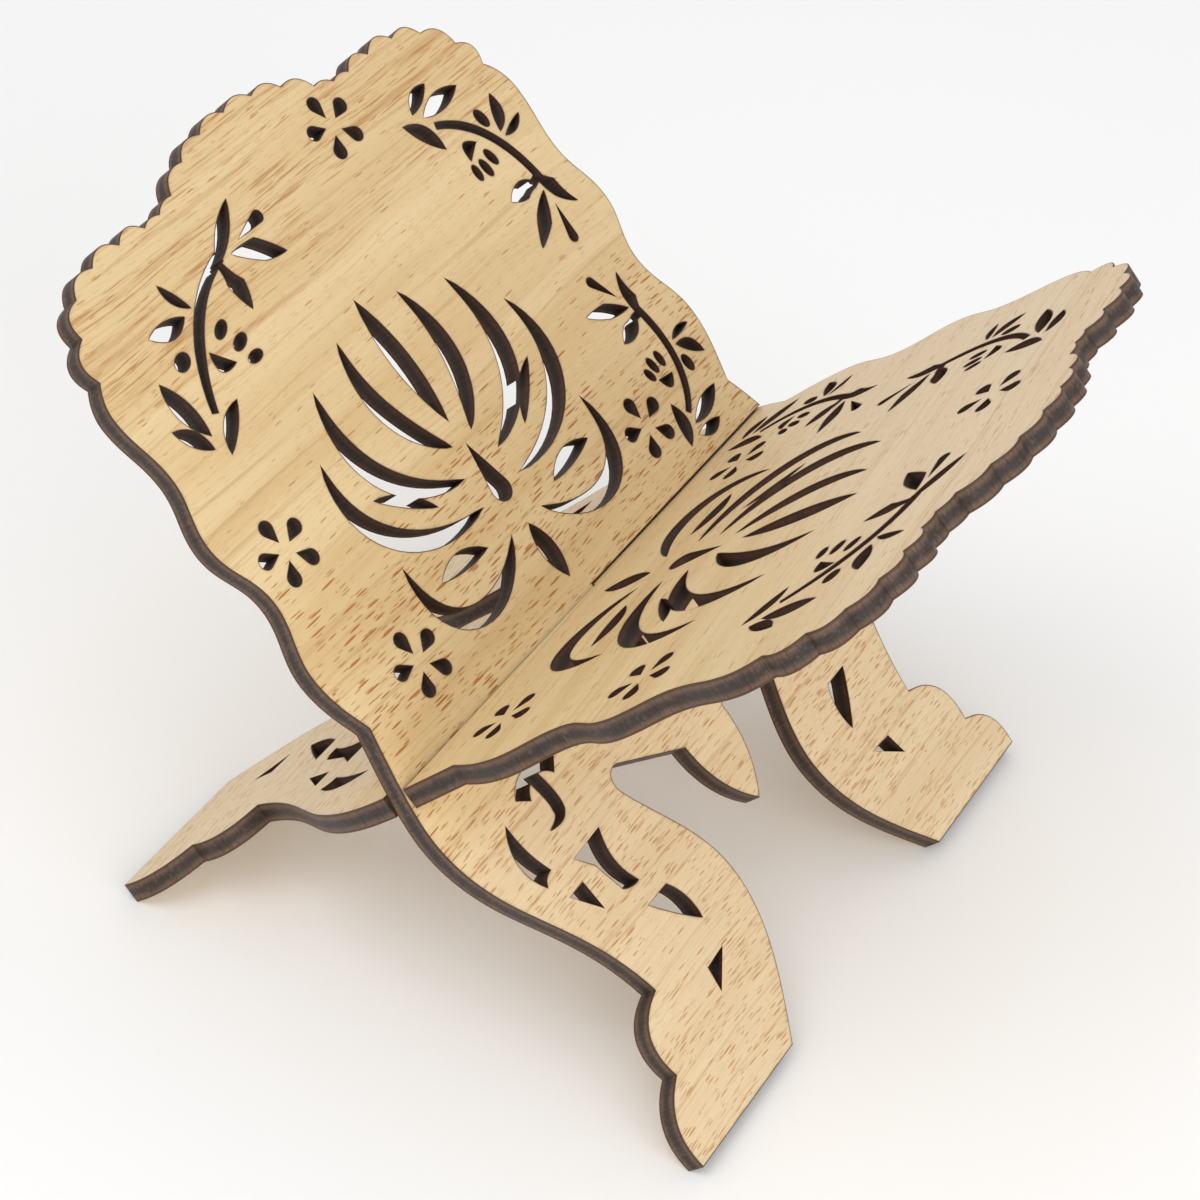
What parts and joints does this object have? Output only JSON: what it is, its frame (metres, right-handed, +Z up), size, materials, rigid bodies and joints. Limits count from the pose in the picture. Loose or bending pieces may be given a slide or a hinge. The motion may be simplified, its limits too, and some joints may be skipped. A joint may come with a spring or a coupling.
{
  "type": "book stand",
  "caption": "Folding-style X book stand of slotted, veneered boards with scalloped edges, pierced ornament and shaped legs.",
  "frame": {"origin": "middle of the footprint, on the surface that the feet stand on", "axes": "+Z up; Y along the line where the boards cross; the left board's book rest leans towards -X and the right board's towards +X"},
  "size_m": [0.26, 0.207, 0.2109],
  "materials": {
    "face_veneer": "satin",
    "back_veneer": "satin",
    "core": "matte"
  },
  "bodies": {
    "left_board": {"left_board_face_veneer": "face_veneer", "left_board_core": "core", "left_board_back_veneer": "back_veneer"},
    "right_board": {"right_board_face_veneer": "face_veneer", "right_board_core": "core", "right_board_back_veneer": "back_veneer"}
  },
  "joints": [
    {"name": "boards_slide_apart", "type": "slide", "parent": "left_board", "child": "right_board", "axis": [0, 1, 0], "range_m": [0, 0.105]}
  ]
}
